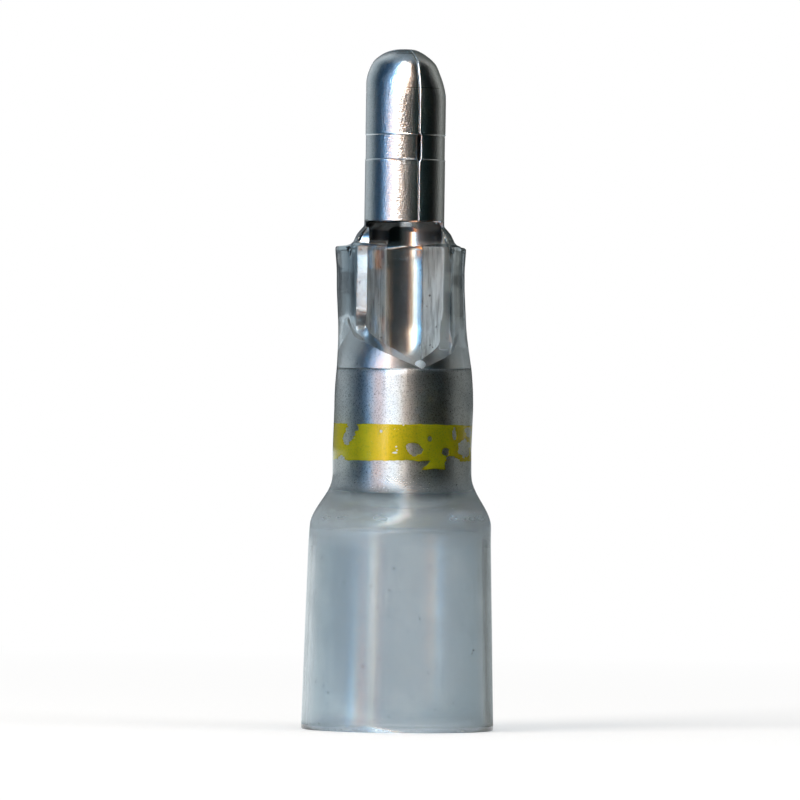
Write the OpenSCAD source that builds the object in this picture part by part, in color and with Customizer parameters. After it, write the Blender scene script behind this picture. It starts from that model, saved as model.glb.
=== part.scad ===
// Heat-shrink bullet terminal for 4 to 6 mm2 wire.
// A rolled-sheet round pin and wire barrel, a seamless sleeve, and an adhesive-lined clear tube.
// The origin is the centre of the tube's open end, +Z runs along the axis to the pin's tip,
// and the neck's window faces -Y. Angles around the axis count from -Y, positive towards +X.

/* [Overall] */
// Length of the whole terminal, from the tube's open end to the pin's tip
overall_len = 34; // [33:0.1:40]

/* [Pin] */
// Diameter of the round pin
pin_d = 4.0; // [3.6:0.1:4.4]
// Length of the pin, from the top of the neck's window to the tip
pin_len = 8.6; // [7:0.1:11]
// Radius that rounds the nose of the pin
nose_r = 1.75; // [1.2:0.05:1.75]
// Distance from the tip to the upper edge of the latch groove
groove_below_tip = 4.3; // [2.5:0.1:5]
// Width of the latch groove along the pin
groove_w = 1.25; // [0.6:0.05:1.6]
// Depth of the latch groove
groove_depth = 0.04; // [0.02:0.01:0.1]

/* [Rolled sheet] */
// Thickness of the sheet
sheet_t = 0.45; // [0.3:0.01:0.5]
// Gap along the roll seam
seam_gap = 0.1; // [0.06:0.01:0.2]
// Gap of the seam where it crosses the latch groove
groove_seam_gap = 0.3; // [0.2:0.01:0.4]
// Direction of the roll seam around the axis
seam_angle = 20; // [0:1:30]
// How far the seam runs past the axis over the nose
nose_crack = 0.8; // [0.4:0.05:1.2]

/* [Neck] */
// Outside diameter of the neck
neck_d = 4.9; // [4.7:0.05:5.0]
// Length of the neck, from the point of the V-cut to the top of the window
neck_len = 7.4; // [6.5:0.1:9]
// Length of the shoulder between the pin and the neck
shoulder_len = 1.0; // [0.8:0.05:1.6]
// Half of the angle that the window leaves open
window_half_angle = 65; // [55:1:75]
// Slope of the V-cut's two arms
v_slope = 26; // [18:1:32]
// Radius where the arms of the V-cut run into the neck's edges
window_corner_r = 0.35; // [0.2:0.05:0.5]
// Height of the relief slots under the pin's lower edge
relief_h = 0.3; // [0.2:0.05:0.5]
// Angle by which each relief slot cuts past the window's edge
relief_angle = 9; // [4:1:14]

/* [Wire barrel] */
// Outside diameter of the rolled barrel
barrel_d = 5.3; // [5.2:0.05:5.4]
// Length of the sleeve, up to the point of the V-cut
barrel_len = 6.3; // [5.5:0.1:7]
// How far the full barrel runs on past the sleeve
barrel_lip = 0.5; // [0.2:0.05:0.8]
// Length of the taper between the barrel and the neck
throat_len = 1.8; // [1:0.1:2.4]
// Wall of the seamless sleeve
sleeve_wall = 0.3; // [0.2:0.02:0.36]
// Chamfer on the barrel's and the sleeve's edges
edge_chamfer = 0.08; // [0.04:0.01:0.12]

/* [Colour band] */
// Width of the ink band
band_w = 1.75; // [1:0.05:2.4]
// Thickness of the ink
band_t = 0.03; // [0.02:0.005:0.05]
// Distance from the sleeve's upper edge to the band
band_below_top = 2.8; // [1.5:0.1:3]

/* [Heat-shrink tube] */
// Outside diameter at the open wire end
tube_end_d = 9.6; // [9.2:0.1:11]
// Outside diameter just below the shoulder
tube_tail_d = 9.06; // [8.6:0.02:9.2]
// Outside diameter over the sleeve
tube_waist_d = 6.95; // [6.8:0.05:7.4]
// Outside diameter over the neck
tube_neck_d = 6.4; // [6.3:0.05:6.7]
// Outside diameter of the upper rim
tube_rim_d = 6.54; // [6.4:0.02:6.8]
// Length of tube past the barrel, over the neck
neck_cover = 6.1; // [5.4:0.1:6.3]
// Length of the shoulder between the tail and the barrel
flare_len = 2.6; // [2:0.1:3.5]
// How far up the barrel the shoulder starts
flare_rise = 1.0; // [0.6:0.1:1.6]
// Wall of the clear jacket at the open end
jacket_wall = 0.35; // [0.25:0.01:0.5]
// Wall of the adhesive lining
liner_wall = 0.2; // [0.12:0.01:0.24]

/* [Hidden] */
$fn = 96;
// Overrun of a cut past the face that it opens
cut = 1;
// Distance of the relief slots below the pin's lower edge
relief_drop = 0.05;
curve_steps = 12;
nose_steps = 16;
window_step = 2.5;

pin_r = pin_d / 2;
neck_r = neck_d / 2;
barrel_r = barrel_d / 2;
bore_r = barrel_r - sheet_t;
sleeve_r = barrel_r + sleeve_wall;
// The tube shrinks onto the wider of the barrel's lip and the neck
seat_r = max(barrel_r, neck_r);

// The open tail of the tube takes the length that the metal leaves
barrel_z0 = overall_len - pin_len - neck_len - barrel_len;
barrel_z1 = barrel_z0 + barrel_len;
window_top = barrel_z1 + neck_len;
tip_z = overall_len;
throat_z1 = barrel_z1 + barrel_lip + throat_len;
shoulder_z1 = window_top - relief_h / 2;
groove_z1 = tip_z - groove_below_tip;
groove_z0 = groove_z1 - groove_w;
band_z1 = barrel_z1 - band_below_top;
band_z0 = band_z1 - band_w;
rim_z = barrel_z1 + neck_cover;

// Length over which the lining eases from the sleeve to the neck
step_len = 0.8;
// Length over which the outside narrows from the sleeve to the neck, and how much of it is above the sleeve
waist_len = 4.2;
waist_above = 2.5;
// Length over which the rim opens out
rim_len = 1.3;
// A flared wall of even thickness has its inner face lower than its outer one
flare_slope = atan(PI / 2 * (tube_tail_d - tube_waist_d) / 2 / flare_len);
flare_drop = (jacket_wall + liner_wall) * sin(flare_slope);
flare_z1 = barrel_z0 + flare_rise;

// Smooth step from 0 to 1
function ease(s) = (1 - cos(180 * s)) / 2;

// Profile points that run down from height z1 by a length, while the radius eases from r1 to r0
function eased(r1, r0, z1, length) =
    [for (i = [0:curve_steps]) let (s = i / curve_steps) [r1 + (r0 - r1) * ease(s), z1 - length * s]];

// Height of the window's lower edge at angle a: two arms of a V with rounded ends
function arm_length(a) = abs(a - seam_angle) * PI / 180 * neck_r;
function edge_length(a) = (window_half_angle - abs(a)) * PI / 180 * neck_r;
function corner_rise(d) =
    d >= window_corner_r ? 0 : window_corner_r - sqrt(pow(window_corner_r, 2) - pow(window_corner_r - d, 2));
function window_floor(a) = barrel_z1 + arm_length(a) * tan(v_slope) + corner_rise(edge_length(a));

// Angles from a0 to a1, evenly spaced at about the window's step, without the last one
function spread(a0, a1) = let (n = ceil((a1 - a0) / window_step))
    [for (i = [0:n - 1]) a0 + (a1 - a0) * i / n];

function around(r, a, z) = [r * sin(a), -r * cos(a), z];

// Nose of the rolled body, inset from the outside, from the top to the side
function nose_arc(inset) = [for (i = [0:nose_steps]) let (a = 90 - 90 * i / nose_steps, r = nose_r - inset)
    [pin_r - nose_r + r * cos(a), tip_z - nose_r + r * sin(a)]];

// Outside of the rolled body, from the tip down to the barrel's wire end
function body_outside() = concat(
    [[0, tip_z]],
    nose_arc(0),
    [[pin_r, groove_z1], [pin_r - groove_depth, groove_z1]],
    [[pin_r - groove_depth, groove_z0], [pin_r, groove_z0]],
    eased(pin_r, neck_r, shoulder_z1, shoulder_len),
    eased(neck_r, barrel_r, throat_z1, throat_len),
    [[barrel_r, barrel_z0]]);

// Inside of the rolled body, with a chamfer where the wire enters
function body_inside() = concat(
    [[0, tip_z - sheet_t]],
    nose_arc(sheet_t),
    eased(pin_r - sheet_t, neck_r - sheet_t, shoulder_z1, shoulder_len),
    eased(neck_r - sheet_t, bore_r, throat_z1, throat_len),
    [[bore_r, barrel_z0 + edge_chamfer], [bore_r + edge_chamfer, barrel_z0]]);

// Solid of revolution between two faces whose points both run down
module wall_between(outer, inner) {
    rotate_extrude() polygon(concat(outer, [for (i = [len(inner) - 1:-1:0]) inner[i]]));
}

// Cutter for the neck's window: a ring sector whose floor follows the V-cut
module window_cutter() {
    r_in = bore_r / 2;
    r_out = barrel_r + cut;
    angles = concat(
        spread(-window_half_angle, seam_angle),
        spread(seam_angle, window_half_angle),
        [window_half_angle]);
    last = len(angles) - 1;
    points = [for (a = angles) each [
        around(r_in, a, window_floor(a)), around(r_out, a, window_floor(a)),
        around(r_out, a, window_top), around(r_in, a, window_top)]];
    sides = [for (i = [0:last - 1]) let (p = 4 * i, q = p + 4) each [
        [p + 1, q + 1, q], [p + 1, q, p],
        [p + 3, q + 3, q + 2, p + 2],
        [p + 2, q + 2, q + 1, p + 1],
        [p, q, q + 3, p + 3]]];
    ends = [[3, 2, 1, 0], [for (k = [0:3]) 4 * last + k]];
    polyhedron(points, concat(sides, ends));
}

// Slots in the window's upper corners that free the pin's lower edge from the neck
module relief_cutter() {
    slot_w = 2 * pin_r * sin(relief_angle);
    for (side = [-1, 1]) rotate([0, 0, side * window_half_angle])
        translate([-slot_w / 2, -neck_r, window_top - relief_drop - relief_h])
            cube([slot_w, neck_r - bore_r / 2, relief_h]);
}

// Slit of the roll seam, wider across the latch groove
module seam_cutter() {
    reach = barrel_r + cut;
    rotate([0, 0, seam_angle]) {
        translate([-seam_gap / 2, -reach, barrel_z0 - cut])
            cube([seam_gap, reach, tip_z - barrel_z0 + 2 * cut]);
        translate([-seam_gap / 2, -cut, tip_z - nose_r / 2])
            cube([seam_gap, cut + nose_crack, nose_r]);
        translate([-groove_seam_gap / 2, -reach, groove_z0]) cube([groove_seam_gap, reach, groove_w]);
    }
}

module bullet_terminal() {
    color([0.78, 0.79, 0.80]) difference() {
        wall_between(body_outside(), body_inside());
        window_cutter();
        relief_cutter();
        seam_cutter();
    }
}

module barrel_sleeve() {
    color([0.68, 0.69, 0.70]) rotate_extrude() polygon([
        [barrel_r, barrel_z0], [sleeve_r - edge_chamfer, barrel_z0], [sleeve_r, barrel_z0 + edge_chamfer],
        [sleeve_r, barrel_z1 - edge_chamfer], [sleeve_r - edge_chamfer, barrel_z1], [barrel_r, barrel_z1]]);
}

module colour_band() {
    color([0.86, 0.76, 0.08]) rotate_extrude() translate([sleeve_r, band_z0]) square([band_t, band_w]);
}

// Outside of the tube, as points that run down from the rim to the open end
function tube_outside() = concat(
    eased(tube_rim_d / 2, tube_neck_d / 2, rim_z, rim_len),
    eased(tube_neck_d / 2, tube_waist_d / 2, barrel_z1 + waist_above, waist_len),
    eased(tube_waist_d / 2, tube_tail_d / 2, flare_z1, flare_len),
    [[tube_end_d / 2, 0]]);

// Face between the lining and the jacket, from the rim down
function lining_outside() = concat(
    [[seat_r + liner_wall, rim_z]],
    eased(seat_r + liner_wall, sleeve_r + liner_wall, barrel_z1 + step_len, step_len),
    eased(sleeve_r + liner_wall, tube_tail_d / 2 - jacket_wall, flare_z1 - flare_drop, flare_len),
    [[tube_end_d / 2 - jacket_wall, 0]]);

// Inside of the lining, from the rim down: on the barrel's lip, on the sleeve and the ink, then free
function lining_inside() = let (wall = jacket_wall + liner_wall) concat(
    [[seat_r, rim_z], [seat_r, barrel_z1]],
    [[sleeve_r - edge_chamfer, barrel_z1], [sleeve_r, barrel_z1 - edge_chamfer]],
    [[sleeve_r, band_z1], [sleeve_r + band_t, band_z1]],
    [[sleeve_r + band_t, band_z0], [sleeve_r, band_z0]],
    eased(sleeve_r, tube_tail_d / 2 - wall, flare_z1 - flare_drop, flare_len),
    [[tube_end_d / 2 - wall, 0]]);

module adhesive_liner() {
    color([0.80, 0.84, 0.86, 0.6]) wall_between(lining_outside(), lining_inside());
}

module heat_shrink_tube() {
    color([0.76, 0.82, 0.86, 0.4]) wall_between(tube_outside(), lining_outside());
}

bullet_terminal();
barrel_sleeve();
colour_band();
adhesive_liner();
heat_shrink_tube();
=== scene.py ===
import math
from functools import cached_property

import bmesh
import bpy
import numpy as np
from mathutils import Matrix, Vector

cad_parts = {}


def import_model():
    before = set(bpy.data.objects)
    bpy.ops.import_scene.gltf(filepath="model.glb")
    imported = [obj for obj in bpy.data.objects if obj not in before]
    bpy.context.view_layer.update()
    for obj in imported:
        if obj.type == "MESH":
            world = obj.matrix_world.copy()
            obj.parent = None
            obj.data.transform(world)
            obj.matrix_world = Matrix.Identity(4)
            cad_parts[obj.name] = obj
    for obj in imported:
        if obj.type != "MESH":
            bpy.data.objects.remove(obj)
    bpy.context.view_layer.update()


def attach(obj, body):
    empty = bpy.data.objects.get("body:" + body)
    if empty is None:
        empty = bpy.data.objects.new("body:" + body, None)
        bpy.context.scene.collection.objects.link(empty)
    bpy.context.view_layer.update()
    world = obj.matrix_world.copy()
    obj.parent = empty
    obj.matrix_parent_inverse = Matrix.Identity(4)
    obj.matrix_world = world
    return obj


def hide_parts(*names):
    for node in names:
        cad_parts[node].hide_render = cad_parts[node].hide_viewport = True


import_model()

# A heat-shrink bullet terminal on a white table: its sizes here are in millimetres, the scene is in metres
MM = 0.001

# Driving sizes in millimetres and degrees, as in the part's CAD source
TIP_Z = 34.0
PIN_R = 2.0
PIN_LEN = 8.6
NOSE_R = 1.75
GROOVE_BELOW_TIP = 4.3
GROOVE_WIDTH = 1.25
SHEET_T = 0.45
SEAM = 20.0
NECK_R = 2.45
NECK_LEN = 7.4
SHOULDER_LEN = 1.0
WINDOW_HALF = 65.0
V_SLOPE = math.tan(math.radians(26))
CORNER_R = 0.35
RELIEF_HEIGHT = 0.3
RELIEF_ANGLE = 9.0
RELIEF_DROP = 0.05
BARREL_R = 2.65
BARREL_LEN = 6.3
BARREL_LIP = 0.5
THROAT_LEN = 1.8
SLEEVE_WALL = 0.3
SLEEVE_CHAMFER = 0.08
BAND_WIDTH = 1.75
BAND_BELOW_TOP = 2.8
TUBE_END_R = 4.8
TUBE_TAIL_R = 4.53
TUBE_WAIST_R = 3.475
TUBE_NECK_R = 3.2
TUBE_RIM_R = 3.27
NECK_COVER = 6.1
RIM_LEN = 1.3
WAIST_ABOVE = 2.5
WAIST_LEN = 4.2
FLARE_LEN = 2.6
FLARE_RISE = 1.0
JACKET_WALL = 0.35
LINER_WALL = 0.2

# Sizes that are set for the looks alone
GROOVE_DEPTH = 0.022
SEAM_EDGE_R = 0.075
SEAM_HALF_GAP = 0.018
SEAM_WIDENING = 0.1
INK_LIFT = 0.028
INK_THICKNESS = 0.024
LINER_FLARE_DROP = 0.3
TUBE_INDEX = 1.48

# Heights, radii and angles that follow from them
WINDOW_TOP = TIP_Z - PIN_LEN
WINDOW_RIGHT = WINDOW_HALF
WINDOW_LEFT = 360 - WINDOW_HALF
GROOVE_Z1 = TIP_Z - GROOVE_BELOW_TIP
GROOVE_Z0 = GROOVE_Z1 - GROOVE_WIDTH
RELIEF_Z1 = WINDOW_TOP - RELIEF_DROP
RELIEF_Z0 = RELIEF_Z1 - RELIEF_HEIGHT
SHOULDER_Z1 = WINDOW_TOP - RELIEF_HEIGHT / 2
BARREL_Z1 = WINDOW_TOP - NECK_LEN
BARREL_Z0 = BARREL_Z1 - BARREL_LEN
THROAT_Z1 = BARREL_Z1 + BARREL_LIP + THROAT_LEN
SLEEVE_R = BARREL_R + SLEEVE_WALL
BAND_R = SLEEVE_R + INK_LIFT
BAND_Z1 = BARREL_Z1 - BAND_BELOW_TOP
BAND_Z0 = BAND_Z1 - BAND_WIDTH
RIM_Z = BARREL_Z1 + NECK_COVER
FLARE_Z1 = BARREL_Z0 + FLARE_RISE
LINER_FLARE_Z1 = FLARE_Z1 - LINER_FLARE_DROP


# Helpers for shapes

def ease(s):
    """Smooth step from 0 to 1."""
    return (1 - np.cos(np.pi * np.clip(s, 0, 1))) / 2


def step(value, low, high):
    """Smooth step from 0 at low to 1 at high."""
    return ease((np.asarray(value, float) - low) / (high - low))


def between(value, low, full, fading, high):
    """Smooth rise from low to full, and fall from fading to high."""
    return step(value, low, full) * (1 - step(value, fading, high))


def eased(r1, r0, z1, length, count=14):
    """Profile points that run down from z1 while the radius eases from r1 to r0."""
    s = np.linspace(0, 1, count)
    return [(r1 + (r0 - r1) * e, z1 - length * t) for t, e in zip(s, ease(s))]


def radius_at(profile):
    """Radius as a function of the height, for profile points that run down."""
    points = np.array(profile[::-1], float)
    return lambda z: np.interp(z, points[:, 1], points[:, 0])


def waves(a, z, seed, scale, count=7):
    """Smooth seamless noise of about -1 to 1 over the angle a in radians and the height z in mm."""
    rng = np.random.default_rng(seed)
    total = np.zeros(np.broadcast(a, z).shape)
    for _ in range(count):
        turns = rng.integers(-int(6 * scale) - 1, int(6 * scale) + 2)
        total = total + np.sin(turns * a + rng.normal() * 2.2 * scale * z + rng.uniform(0, 6.28))
    return total / math.sqrt(count)


def turn(count, start=0.0):
    """Even angles once around the axis, in radians."""
    return np.linspace(start, start + 2 * math.pi, count, endpoint=False)


def heights(*runs):
    """A column of heights, for runs that give the first height, the last one and their number."""
    return np.concatenate([np.linspace(*run) for run in runs])[:, None]


def around(r, a, z):
    """Points at radius r, angle a in radians from -Y towards +X, and height z, in metres."""
    r, a, z = np.broadcast_arrays(r, a, z)
    return np.stack([r * np.sin(a), -r * np.cos(a), z], -1) * MM


def ring_faces(rows, columns, closed_rows):
    """Quads over a grid that closes around the columns, and around the rows too if asked."""
    faces = []
    for i in range(rows if closed_rows else rows - 1):
        this_row = i * columns
        next_row = (i + 1) % rows * columns
        for j in range(columns):
            k = (j + 1) % columns
            faces.append((this_row + j, this_row + k, next_row + k, next_row + j))
    return faces


def add_object(name, data):
    """A new object in the scene."""
    obj = bpy.data.objects.new(name, data)
    bpy.context.scene.collection.objects.link(obj)
    return obj


def make_piece(name, verts, faces, material, node, sharp):
    """A piece of the visual model; edges that bend by more than sharp degrees stay sharp."""
    mesh = bpy.data.meshes.new(name)
    mesh.from_pydata([tuple(v) for v in verts], [], [tuple(f) for f in faces])
    bm = bmesh.new()
    bm.from_mesh(mesh)
    bmesh.ops.remove_doubles(bm, verts=bm.verts, dist=1e-7)
    bmesh.ops.delete(bm, geom=[v for v in bm.verts if not v.link_faces], context="VERTS")
    bmesh.ops.recalc_face_normals(bm, faces=bm.faces)
    bm.to_mesh(mesh)
    bm.free()
    mesh.shade_smooth()
    mesh.set_sharp_from_angle(angle=math.radians(sharp))
    piece = add_object(name, mesh)
    mesh.materials.append(material)
    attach(piece, "root")
    if node:
        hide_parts(node)
    return piece


# Rolled terminal

BODY_OUTSIDE = radius_at(
    [(PIN_R, TIP_Z), (PIN_R, SHOULDER_Z1 + 0.01)]
    + eased(PIN_R, NECK_R, SHOULDER_Z1, SHOULDER_LEN)
    + eased(NECK_R, BARREL_R, THROAT_Z1, THROAT_LEN)
    + [(BARREL_R, BARREL_Z0)])
BODY_INSIDE = radius_at(
    [(PIN_R - SHEET_T, TIP_Z), (PIN_R - SHEET_T, WINDOW_TOP)]
    + eased(PIN_R - 0.2, NECK_R - SHEET_T, WINDOW_TOP - 0.02, 0.35)
    + eased(NECK_R - SHEET_T, BARREL_R - SHEET_T, BARREL_Z1 - 0.6, 0.6)
    + [(BARREL_R - SHEET_T, BARREL_Z0)])


def window_floor(a):
    """Height of the window's V-shaped lower edge at the angle a in degrees."""
    arm = np.radians(np.abs(a - SEAM)) * NECK_R
    edge = np.clip(np.radians(WINDOW_HALF - np.abs(a)) * NECK_R, 0, CORNER_R)
    corner = CORNER_R - np.sqrt(np.maximum(CORNER_R**2 - (CORNER_R - edge) ** 2, 0))
    return BARREL_Z1 + arm * V_SLOPE + corner


def nose_arc(inset):
    """Points of the rounded nose from its top down, at a depth inside its outer face."""
    r = NOSE_R - inset
    slopes = np.linspace(math.pi / 2, 0, 22)
    return [(PIN_R - NOSE_R + r * math.cos(t), TIP_Z - NOSE_R + r * math.sin(t)) for t in slopes]


def pin_rows():
    """Outside and inside points of the pin from the tip down to the window, in matching rows."""
    outer = [(0.0, TIP_Z), (0.12, TIP_Z)] + nose_arc(0)
    inner = [(0.0, TIP_Z - SHEET_T), (0.1, TIP_Z - SHEET_T)] + nose_arc(SHEET_T)
    # Both edges of the groove stand up a little
    low = PIN_R - GROOVE_DEPTH
    edge = [(PIN_R, 0.075), (PIN_R, 0.05), (PIN_R + 0.012, 0.012), (low, -0.035), (low, -0.06)]
    groove = [(r, GROOVE_Z1 + d) for r, d in edge] + [(low, (GROOVE_Z0 + GROOVE_Z1) / 2)]
    groove += [(r, GROOVE_Z0 - d) for r, d in edge[::-1]]
    upper = [(PIN_R, z) for z in np.linspace(TIP_Z - NOSE_R - 0.25, GROOVE_Z1 + 0.12, 8)]
    lower = [(PIN_R, z) for z in np.linspace(GROOVE_Z0 - 0.12, WINDOW_TOP, 9)]
    side = upper + groove + lower
    return outer + side, inner + [(PIN_R - SHEET_T, z) for _, z in side]


def dome_shape(r, a, z):
    """The formed nose is fuller on its left and flatter on its right."""
    right = 1 - 0.13 * step(z, TIP_Z - 2.5, TIP_Z - 1.0) - 0.12 * step(z, TIP_Z - 0.8, TIP_Z)
    left = 1 + 0.04 * step(z, TIP_Z - 1.1, TIP_Z - 0.5)
    share = (1 + np.sin(a)) / 2
    return r * (left * (1 - share) + right * share)


def seam_gap(z):
    """Half of the seam's gap, wider where the seam crosses the groove."""
    crossing = between(z, GROOVE_Z0 - 0.12, GROOVE_Z0 + 0.06, GROOVE_Z1 - 0.06, GROOVE_Z1 + 0.08)
    return SEAM_HALF_GAP + SEAM_WIDENING * crossing


def sheet_columns():
    """Columns of the sheet from the seam round to the seam: the angle of each in degrees, the side of the
    seam that it belongs to (1, -1, or 0 for neither), its distance from the sheet's edge there, and how
    far the rounded edge drops at that distance."""
    near = SEAM_EDGE_R * np.array([0, 0.12, 0.3, 0.6, 1])
    drop = SEAM_EDGE_R - np.sqrt(SEAM_EDGE_R**2 - (SEAM_EDGE_R - near) ** 2)
    runs = [(SEAM + 9, WINDOW_RIGHT, 15),
            (WINDOW_RIGHT, WINDOW_RIGHT + RELIEF_ANGLE, 4),
            (WINDOW_RIGHT + RELIEF_ANGLE, WINDOW_LEFT - RELIEF_ANGLE, 60),
            (WINDOW_LEFT - RELIEF_ANGLE, WINDOW_LEFT, 4),
            (WINDOW_LEFT, SEAM + 351, 27)]
    plain = np.concatenate([[SEAM + 9]] + [np.linspace(*run)[1:] for run in runs])
    none = np.zeros(len(plain))
    ones = np.ones(len(near))
    base = np.concatenate([SEAM * ones, plain, (SEAM + 360) * ones])
    side = np.concatenate([ones, none, -ones])
    return base, side, np.concatenate([near, none, near[::-1]]), np.concatenate([drop, none, drop[::-1]])


def sheet_heights(base, side, pin_heights):
    """Heights of the sheet's rows at each column, and the number of the row along the window's floor."""
    right, left = window_floor(WINDOW_HALF), window_floor(-WINDOW_HALF)
    across = np.clip((base - WINDOW_RIGHT) / (WINDOW_LEFT - WINDOW_RIGHT), 0, 1)
    in_back = (base >= WINDOW_RIGHT) & (base <= WINDOW_LEFT)
    signed = np.where(base > 180, base - 360, base)
    floor = np.where(in_back, right + (left - right) * across, window_floor(signed))
    floor = np.where(side != 0, window_floor(SEAM + side * 1.4), floor)

    reliefs = [RELIEF_Z1, (RELIEF_Z0 + RELIEF_Z1) / 2, RELIEF_Z0]
    window = reliefs + list(np.linspace(RELIEF_Z0 - 0.15, RIM_Z + 0.1, 8))
    window += list(np.linspace(RIM_Z - 0.5, RIM_Z - 2.3, 4))
    rows = [np.full(len(base), height) for height in list(pin_heights) + window]
    floor_rows, barrel_rows = 6, 20
    for t in np.linspace(0, 1, floor_rows + 1)[1:]:
        rows.append(window[-1] + (floor - window[-1]) * t)
    floor_row = len(rows) - 1
    for t in np.linspace(0, 1, barrel_rows + 1)[1:]:
        rows.append(floor + (BARREL_Z0 - floor) * t)
    return np.array(rows), floor_row


def flatten_trough(inner, radius, z):
    """The bottom of the trough is flatter than its sides and turned a little to the left, and its lower end
    leans back."""
    side, deep = inner[..., 0] / MM, inner[..., 1] / MM
    behind = deep > 0
    flat = (1 - step(np.abs(side + 0.1), 1.1, 1.7)) * behind
    flat = flat * between(z, BARREL_Z1 - 1.4, BARREL_Z1 - 0.6, RIM_Z - 0.2, RIM_Z + 0.4)
    foot = (1 - step(np.abs(side), 1.2, 1.8)) * behind
    foot = foot * np.clip(BARREL_Z1 + 2.2 - z, 0, 2.3) * step(z, BARREL_Z1 - 1.2, BARREL_Z1 - 0.1)
    shift = flat * (radius - (side + 0.17) ** 2 / 6.2 - deep) - 0.1 * foot
    return inner + np.stack([0 * shift, shift * MM, 0 * shift], -1)


def sheet_faces(keep):
    """Outer and inner faces of a sheet's kept cells, and the cut faces that join them along open borders."""
    columns = keep.shape[1] + 1
    shift = (keep.shape[0] + 1) * columns
    cells = {(int(i), int(j)) for i, j in zip(*np.nonzero(keep))}
    faces = []
    for i, j in sorted(cells):
        first = i * columns + j
        quad = (first, first + 1, first + columns + 1, first + columns)
        faces.append(quad)
        faces.append(tuple(v + shift for v in quad[::-1]))
        borders = (((i - 1, j), quad[0], quad[1]), ((i, j + 1), quad[1], quad[2]),
                   ((i + 1, j), quad[2], quad[3]), ((i, j - 1), quad[3], quad[0]))
        for beside, p, q in borders:
            if beside not in cells and beside[0] >= 0:
                faces.append((q, p, p + shift, q + shift))
    return faces


def rolled_terminal(material):
    """The rolled sheet: a grid over height and angle with the window left out, given its thickness."""
    base, side, near, drop = sheet_columns()
    outer_rows, inner_rows = pin_rows()
    z, floor_row = sheet_heights(base, side, [height for _, height in outer_rows])
    outer_r = BODY_OUTSIDE(z)
    inner_r = BODY_INSIDE(z)
    z_in = z.copy()
    for i, (outside, inside) in enumerate(zip(outer_rows, inner_rows)):
        outer_r[i] = outside[0]
        inner_r[i], z_in[i] = inside
    # The gap narrows towards the tip, where the sheet's rounded edges run out too
    angle = np.radians(base + side * np.degrees((seam_gap(z) + near) / np.maximum(outer_r, 1.6)))
    outer_r = dome_shape(outer_r, angle, z) - drop * np.clip(outer_r / 1.2, 0, 1)
    inner_r = dome_shape(inner_r, angle, z_in)

    # Columns of the window's edges and of the ends of its reliefs
    right_edge, right_relief, left_relief, left_edge = (
        int(np.argmin(np.abs(base - place))) for place in
        (WINDOW_RIGHT, WINDOW_RIGHT + RELIEF_ANGLE, WINDOW_LEFT - RELIEF_ANGLE, WINDOW_LEFT))
    keep = np.ones((len(z) - 1, len(base) - 1), bool)
    for i in range(len(outer_rows) - 1, floor_row):
        middle = (z[i, right_edge] + z[i + 1, right_edge]) / 2
        relieved = RELIEF_Z0 < middle < RELIEF_Z1
        keep[i, :right_relief if relieved else right_edge] = False
        keep[i, left_relief if relieved else left_edge:] = False

    # The left cut face leans towards the front, the right one away from it
    order = np.arange(len(base))
    left_wall = np.interp(order, [left_relief - 3, left_edge], [0, 1], left=0, right=0)
    right_wall = np.interp(order, [right_edge, right_relief + 3], [1, 0], left=0, right=0)
    lean = between(z, BARREL_Z1 + 1.9, BARREL_Z1 + 2.8, WINDOW_TOP - 0.5, WINDOW_TOP - 0.1)
    inner_angle = angle + np.radians(lean * (7.8 * left_wall + 3.5 * right_wall))
    inner_r += 0.075 * lean * left_wall
    # The cut faces of the V lean towards the front
    in_front = (base < WINDOW_RIGHT) | (base > WINDOW_LEFT)
    for i in range(floor_row, len(z)):
        z_in[i] += in_front * 0.28 * max(0, 1 - (i - floor_row) / 8)

    outer = around(outer_r, angle, z)
    inner = flatten_trough(around(inner_r, inner_angle, z_in), inner_r, z_in)
    verts = np.concatenate([outer.reshape(-1, 3), inner.reshape(-1, 3)])
    return make_piece("rolled_terminal", verts, sheet_faces(keep), material,
                      node="bullet_terminal", sharp=32)


# Sleeve and ink

def sleeve(material):
    """Seamless sleeve with softly broken edges."""
    bore = BARREL_R + 0.004
    edge = [(bore, 0.0), (SLEEVE_R - SLEEVE_CHAMFER, 0.0), (SLEEVE_R - 0.025, 0.02),
            (SLEEVE_R, SLEEVE_CHAMFER)]
    section = [(r, BARREL_Z0 + d) for r, d in edge]
    section += [(SLEEVE_R, z) for z in np.linspace(BARREL_Z0 + 0.4, BARREL_Z1 - 0.4, 24)]
    section += [(r, BARREL_Z1 - d) for r, d in edge[::-1]]
    r, z = np.array(section).T
    a = turn(192)
    verts = around(r[:, None], a[None, :], z[:, None]).reshape(-1, 3)
    return make_piece("crimp_sleeve", verts, ring_faces(len(r), len(a), True), material,
                      node="barrel_sleeve", sharp=50)


def seen_angle(offset):
    """Angle on the sleeve of a point that shows at this sideways offset through the clear tube."""
    b = np.clip(offset, -TUBE_WAIST_R, TUBE_WAIST_R)
    return (np.arcsin(b / TUBE_WAIST_R) - np.arcsin(b / (TUBE_INDEX * TUBE_WAIST_R))
            + np.arcsin(b / (TUBE_INDEX * SLEEVE_R)))


def clip_cell(corners, values):
    """The part of a grid cell where the value is above zero."""
    out = []
    for k in range(4):
        p, q, vp, vq = corners[k], corners[(k + 1) % 4], values[k], values[(k + 1) % 4]
        if vp > 0:
            out.append(p)
        if (vp > 0) != (vq > 0):
            t = vp / (vp - vq)
            out.append((p[0] + (q[0] - p[0]) * t, p[1] + (q[1] - p[1]) * t))
    return out


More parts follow.
